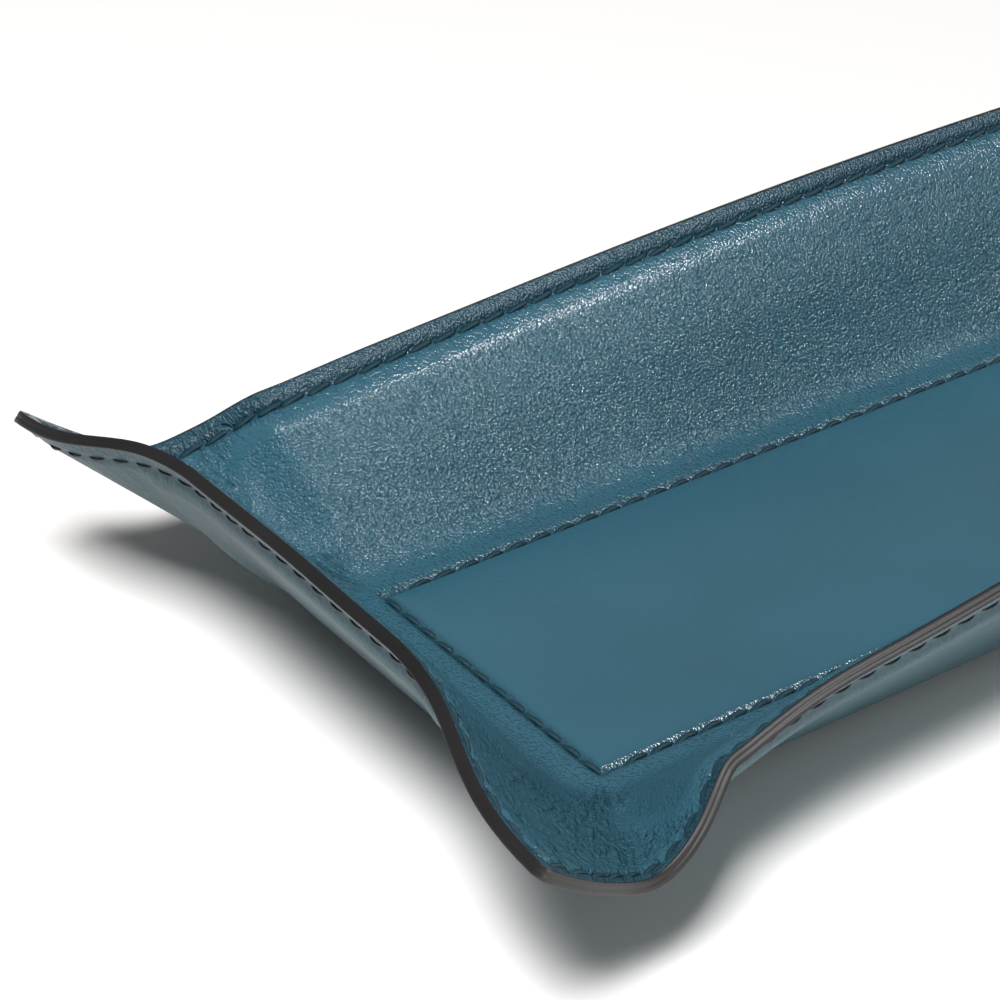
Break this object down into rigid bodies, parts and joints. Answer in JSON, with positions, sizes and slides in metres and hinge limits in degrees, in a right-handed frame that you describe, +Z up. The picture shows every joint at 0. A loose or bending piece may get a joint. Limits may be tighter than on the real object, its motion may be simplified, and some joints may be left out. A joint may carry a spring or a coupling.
{
  "type": "valet tray",
  "caption": "Long open leather tray with a flat stitched base, four sloping board-stiffened walls and soft folded spout corners, for holding small items on a table or desk.",
  "frame": {"origin": "middle of the underside, on the surface the tray stands on", "axes": "+X along the tray's length, +Y across it, +Z up; the tray is the same at both ends and on both sides"},
  "size_m": [0.3132, 0.1262, 0.0364],
  "materials": {
    "lining_leather": "fine pebbled grain, soft sheen, teal blue",
    "outer_leather": "fine pebbled grain, soft sheen, teal blue",
    "board": "pressed fibre board, raw",
    "foam": "thin closed foam sheet",
    "edge_paint": "dark brown-black edge lacquer, glossy",
    "thread": "waxed thread, dark teal"
  },
  "bodies": {
    "root": {"lining": "lining_leather", "outer_leather": "outer_leather", "base_pad": "foam", "base_board": "board", "back_wall_board": "board", "front_wall_board": "board", "right_wall_board": "board", "left_wall_board": "board", "edge_paint": "edge_paint", "rim_thread_inside": "thread", "rim_thread_outside": "thread", "base_thread_top": "thread", "base_thread_under": "thread"}
  },
  "joints": []
}
